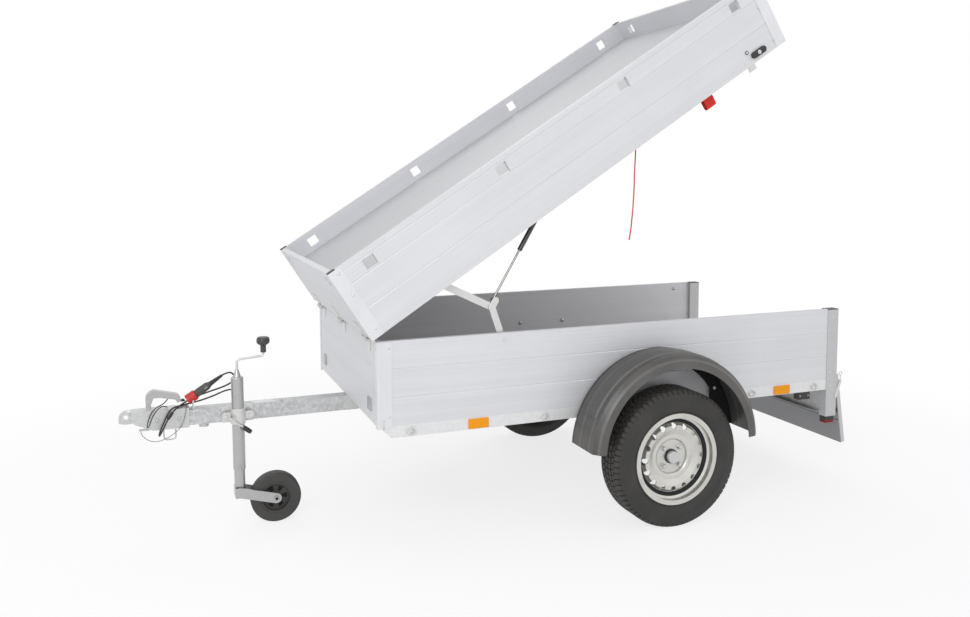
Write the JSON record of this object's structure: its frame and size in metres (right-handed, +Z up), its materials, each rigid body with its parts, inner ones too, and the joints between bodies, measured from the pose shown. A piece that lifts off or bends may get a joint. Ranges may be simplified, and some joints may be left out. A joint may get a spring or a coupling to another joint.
{
  "type": "utility trailer",
  "caption": "Single-axle aluminium box trailer with a deep tray lid on gas struts, drop tailgate, jockey wheel and ball coupling",
  "frame": {"origin": "centre of the coupling's 50 mm ball socket", "axes": "+X ahead along the drawbar, +Y to the trailer's left, +Z up from the level ground"},
  "size_m": [3.0493, 1.47, 2.1762],
  "materials": {
    "galvanised_steel": "dull zinc coat, faint spangle",
    "aluminium_panel": "satin anodised",
    "black_plastic": "moulded, slight sheen",
    "black_steel": "semi-gloss black",
    "bright_rod": "polished",
    "black_rubber": "matt",
    "black_cable": "matt rubber sheath",
    "steel_wire": "thin steel wire",
    "red_webbing": "woven red webbing and cord",
    "road_tyre": "matt",
    "phenolic_ply": "brown film-faced plywood",
    "red_lens": "clear red",
    "orange_lens": "clear orange",
    "clear_reflector": "clear"
  },
  "bodies": {
    "chassis": {"drawbar": "galvanised_steel", "coupling_head": "galvanised_steel", "coupling_handle": "galvanised_steel", "drawbar_fittings": "galvanised_steel", "trailer_plug": "black_plastic", "plug_cable": "black_cable", "safety_rope": "black_cable", "breakaway_wire": "steel_wire", "jockey_clamp": "galvanised_steel", "axle_beam": "galvanised_steel", "trailing_arms": "galvanised_steel", "side_sills": "galvanised_steel", "cross_members": "galvanised_steel", "floor_panel": "phenolic_ply", "side_walls": "aluminium_panel", "front_wall": "aluminium_panel", "front_corner_trims": "aluminium_panel", "rear_posts": "galvanised_steel", "post_fittings": "black_plastic", "mudguards": "black_plastic", "lamp_bar": "galvanised_steel", "rear_lamp_housings": "black_plastic", "rear_lamp_lenses": "red_lens", "side_reflectors": "orange_lens", "front_reflectors": "clear_reflector", "lashing_eyes": "galvanised_steel", "box_hinges": "galvanised_steel", "gate_latches": "galvanised_steel"},
    "lid": {"lid_side_walls": "aluminium_panel", "lid_end_walls": "aluminium_panel", "lid_roof": "aluminium_panel", "lid_corner_trims": "aluminium_panel", "lid_trim_caps": "black_plastic", "lid_locks": "black_plastic", "lid_hand_strap": "red_webbing", "lid_pull_cord": "red_webbing", "lid_hinges": "galvanised_steel"},
    "tail_gate": {"tailgate": "aluminium_panel"},
    "left_road_wheel": {"left_tyre": "road_tyre", "left_wheel": "galvanised_steel", "left_hub": "galvanised_steel"},
    "right_road_wheel": {"right_tyre": "road_tyre", "right_wheel": "galvanised_steel", "right_hub": "galvanised_steel"},
    "jockey_post": {"jockey_tube": "galvanised_steel", "jockey_crank": "galvanised_steel", "crank_knob": "black_plastic"},
    "jockey_spindle_nut": {"jockey_nut": "galvanised_steel"},
    "jockey_caster": {"jockey_leg": "galvanised_steel"},
    "jockey_roller": {"jockey_hub": "black_plastic", "jockey_tyre": "black_rubber"},
    "left_stay_foot": {"left_lower_link": "galvanised_steel"},
    "left_stay_head": {"left_upper_link": "galvanised_steel"},
    "left_gas_cylinder": {"left_strut_cylinder": "black_steel"},
    "left_gas_rod": {"left_strut_rod": "bright_rod"},
    "right_stay_foot": {"right_lower_link": "galvanised_steel"},
    "right_stay_head": {"right_upper_link": "galvanised_steel"},
    "right_gas_cylinder": {"right_strut_cylinder": "black_steel"},
    "right_gas_rod": {"right_strut_rod": "bright_rod"}
  },
  "joints": [
    {"name": "lid_hinge", "type": "hinge", "parent": "chassis", "child": "lid", "pos_m": [-0.83, 0, 0.332], "axis": [0, 1, 0], "range_deg": [-32.6, 0]},
    {"name": "tailgate_hinge", "type": "hinge", "parent": "chassis", "child": "tail_gate", "pos_m": [-2.959, 0, 0.022], "axis": [0, 1, 0], "range_deg": [0, 171.3]},
    {"name": "left_wheel_spin", "type": "hinge", "parent": "chassis", "child": "left_road_wheel", "pos_m": [-2.01, 0.64, -0.1845], "axis": [0, 1, 0], "continuous": true},
    {"name": "right_wheel_spin", "type": "hinge", "parent": "chassis", "child": "right_road_wheel", "pos_m": [-2.01, -0.64, -0.1845], "axis": [0, 1, 0], "continuous": true},
    {"name": "jockey_post_height", "type": "slide", "parent": "chassis", "child": "jockey_post", "axis": [0, 0, 1], "range_m": [0, 0.125]},
    {"name": "jockey_crank_height", "type": "slide", "parent": "jockey_post", "child": "jockey_spindle_nut", "axis": [0, 0, 1], "range_m": [-0.13, 0.07]},
    {"name": "jockey_swivel", "type": "hinge", "parent": "jockey_spindle_nut", "child": "jockey_caster", "pos_m": [-0.409, 0.058, -0.158], "axis": [0, 0, 1], "continuous": true},
    {"name": "jockey_wheel_spin", "type": "hinge", "parent": "jockey_caster", "child": "jockey_roller", "pos_m": [-0.547, 0.058, -0.358], "axis": [0, 1, 0], "continuous": true},
    {"name": "left_stay_foot_turn", "type": "hinge", "parent": "chassis", "child": "left_stay_foot", "pos_m": [-1.352, 0.505, 0.304], "axis": [0, 1, 0], "range_deg": [-29.8, 0]},
    {"name": "left_stay_elbow", "type": "hinge", "parent": "left_stay_foot", "child": "left_stay_head", "pos_m": [-1.31, 0.4985, 0.429], "axis": [0, 1, 0], "range_deg": [0, 77.9]},
    {"name": "left_gas_cylinder_turn", "type": "hinge", "parent": "lid", "child": "left_gas_cylinder", "pos_m": [-1.56138, 0.4785, 0.8503], "axis": [0, 1, 0], "range_deg": [-39.24, 0]},
    {"name": "left_gas_rod_slide", "type": "slide", "parent": "left_gas_cylinder", "child": "left_gas_rod", "axis": [-0.5113, 0, 0.8594], "range_m": [0, 0.13156]},
    {"name": "right_stay_foot_turn", "type": "hinge", "parent": "chassis", "child": "right_stay_foot", "pos_m": [-1.352, -0.505, 0.304], "axis": [0, 1, 0], "range_deg": [-29.8, 0]},
    {"name": "right_stay_elbow", "type": "hinge", "parent": "right_stay_foot", "child": "right_stay_head", "pos_m": [-1.31, -0.4985, 0.429], "axis": [0, 1, 0], "range_deg": [0, 77.9]},
    {"name": "right_gas_cylinder_turn", "type": "hinge", "parent": "lid", "child": "right_gas_cylinder", "pos_m": [-1.56138, -0.4785, 0.8503], "axis": [0, 1, 0], "range_deg": [-39.24, 0]},
    {"name": "right_gas_rod_slide", "type": "slide", "parent": "right_gas_cylinder", "child": "right_gas_rod", "axis": [-0.5113, 0, 0.8594], "range_m": [0, 0.13156]}
  ],
  "couplings": [
    {"joint": "left_stay_foot_turn", "follows": "lid_hinge", "ratio": 0.91399},
    {"joint": "left_stay_elbow", "follows": "lid_hinge", "ratio": -2.3895},
    {"joint": "left_gas_cylinder_turn", "follows": "lid_hinge", "ratio": 1.2038},
    {"joint": "left_gas_rod_slide", "follows": "lid_hinge", "m_per_rad": -0.23121},
    {"joint": "right_stay_foot_turn", "follows": "lid_hinge", "ratio": 0.91399},
    {"joint": "right_stay_elbow", "follows": "lid_hinge", "ratio": -2.3895},
    {"joint": "right_gas_cylinder_turn", "follows": "lid_hinge", "ratio": 1.2038},
    {"joint": "right_gas_rod_slide", "follows": "lid_hinge", "m_per_rad": -0.23121}
  ]
}
